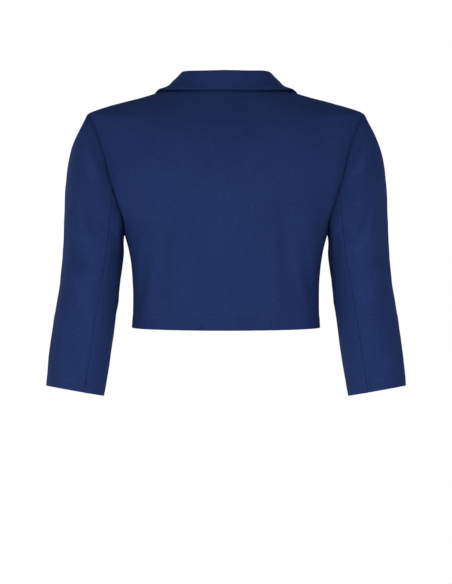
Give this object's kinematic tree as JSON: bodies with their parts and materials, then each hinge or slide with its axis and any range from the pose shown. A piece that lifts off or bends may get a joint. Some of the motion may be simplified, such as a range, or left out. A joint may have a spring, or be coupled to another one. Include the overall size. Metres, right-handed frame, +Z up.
{
  "type": "spencer jacket",
  "caption": "Cropped hollow jacket of plain cloth with a notched collar, turned-back lapels, an open front and three-quarter sleeves.",
  "frame": {"origin": "on the middle plane of the garment, level with the shoulders where they meet the collar, inside the neck opening", "axes": "+Z up as worn, the garment's front faces -Y and its back +Y, the wearer's left is +X"},
  "size_m": [0.5412, 0.2357, 0.4866],
  "materials": {
    "navy_double_knit": "matte, very fine smooth knit"
  },
  "bodies": {
    "root": {"back": "navy_double_knit", "front_left": "navy_double_knit", "front_right": "navy_double_knit", "upper_sleeve_left": "navy_double_knit", "upper_sleeve_right": "navy_double_knit", "under_sleeve_left": "navy_double_knit", "under_sleeve_right": "navy_double_knit", "collar": "navy_double_knit", "lapel_left": "navy_double_knit", "lapel_right": "navy_double_knit"}
  },
  "joints": []
}
